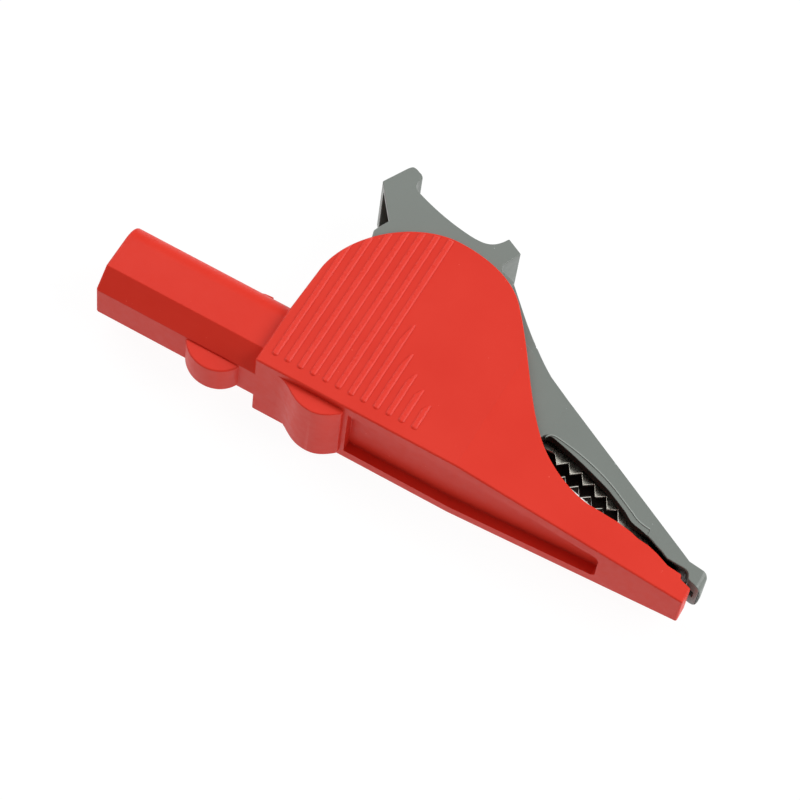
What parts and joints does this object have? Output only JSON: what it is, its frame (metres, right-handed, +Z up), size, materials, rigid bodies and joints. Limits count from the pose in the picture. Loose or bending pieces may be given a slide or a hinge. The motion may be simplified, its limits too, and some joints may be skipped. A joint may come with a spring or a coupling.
{
  "type": "alligator clip",
  "caption": "Insulated alligator test clip with a sprung lever, toothed metal jaws and a safety socket in its rear sleeve.",
  "frame": {"origin": "centre of the clip's box at the surface that it lies on, with the clip on its side", "axes": "+X from the socket's mouth to the jaws' tip, +Y from the underside to the lever, +Z up through the clip's thickness, along the hinge pin"},
  "size_m": [0.0934, 0.0418, 0.0144],
  "materials": {
    "red_plastic": "injection moulded polyamide, satin gloss",
    "grey_plastic": "injection moulded polyamide, fine satin",
    "nickel_plate": "nickel plated sheet steel",
    "spring_steel": "bright steel",
    "contact_metal": "turned brass, lightly polished"
  },
  "bodies": {
    "base": {"housing": "red_plastic", "socket_insulator": "red_plastic", "contact_tube": "contact_metal", "contact_screw": "spring_steel", "lock_washer": "spring_steel", "lower_jaw": "nickel_plate", "pivot_pin": "spring_steel", "spring_bush": "contact_metal", "torsion_spring": "spring_steel"},
    "lever_arm": {"lever": "grey_plastic", "upper_jaw": "nickel_plate"}
  },
  "joints": [
    {"name": "jaw_hinge", "type": "hinge", "parent": "base", "child": "lever_arm", "pos_m": [-0.00228, -0.0045, 0.0072], "axis": [0, 0, 1], "range_deg": [0, 28], "stiffness_Nm_per_rad": 0.25, "springref_deg": -34.38, "deforming": ["torsion_spring"]}
  ]
}
